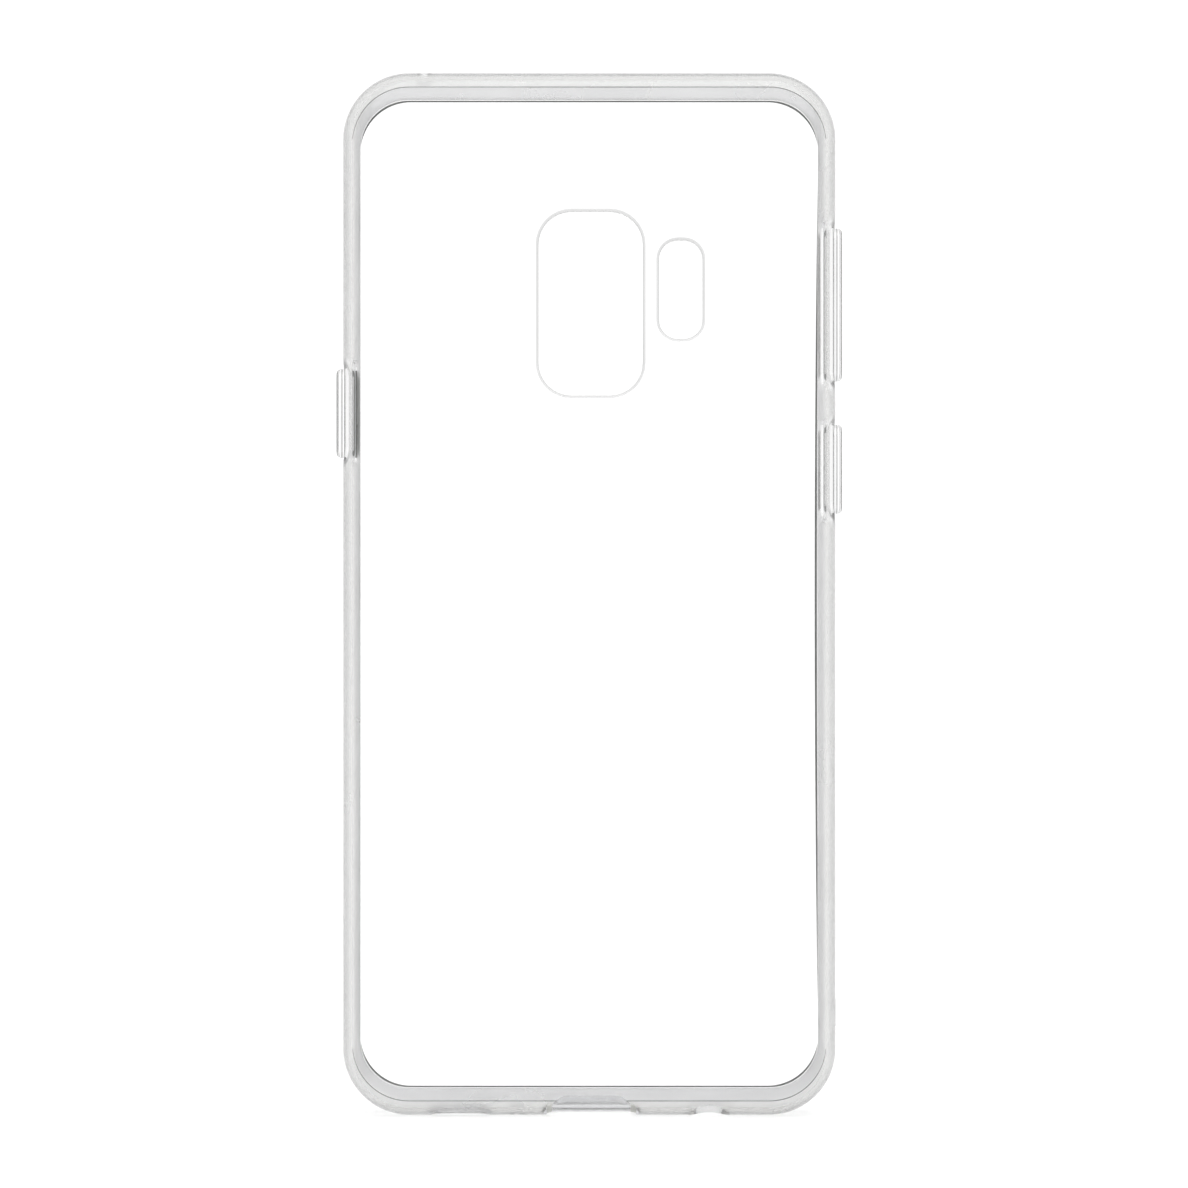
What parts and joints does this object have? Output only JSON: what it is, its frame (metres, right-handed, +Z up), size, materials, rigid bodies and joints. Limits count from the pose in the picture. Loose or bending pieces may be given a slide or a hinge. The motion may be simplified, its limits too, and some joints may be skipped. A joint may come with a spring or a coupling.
{
  "type": "phone case",
  "caption": "Clear clip-in phone case: stiff back plate with camera and sensor cut-outs, soft bumper with port openings, and press-through side buttons.",
  "frame": {"origin": "under the middle of the bottom edge, with the case standing upright", "axes": "+Z up the length of the case, +X to the right seen from behind the handset, +Y from the outer back towards the opening the handset goes in through"},
  "size_m": [0.0728, 0.0102, 0.1499],
  "materials": {
    "clear_soft_plastic": "gloss",
    "clear_hard_plastic": "gloss",
    "clear_button_plastic": "gloss"
  },
  "bodies": {
    "case": {"bumper_frame": "clear_soft_plastic", "back_plate": "clear_hard_plastic", "power_button_web": "clear_soft_plastic", "volume_button_web": "clear_soft_plastic", "assistant_button_web": "clear_soft_plastic"},
    "power_button": {"power_button_pad": "clear_button_plastic"},
    "volume_button": {"volume_button_pad": "clear_button_plastic"},
    "assistant_button": {"assistant_button_pad": "clear_button_plastic"}
  },
  "joints": [
    {"name": "power_press", "type": "slide", "parent": "case", "child": "power_button", "axis": [1, 0, 0], "range_m": [0, 0.0004], "deforming": ["power_button_web"]},
    {"name": "volume_rock", "type": "hinge", "parent": "case", "child": "volume_button", "pos_m": [0.03515, 0.0003, 0.1166], "axis": [0, 1, 0], "range_deg": [-1.8, 1.8], "deforming": ["volume_button_web"]},
    {"name": "assistant_press", "type": "slide", "parent": "case", "child": "assistant_button", "axis": [-1, 0, 0], "range_m": [0, 0.0004], "deforming": ["assistant_button_web"]}
  ]
}
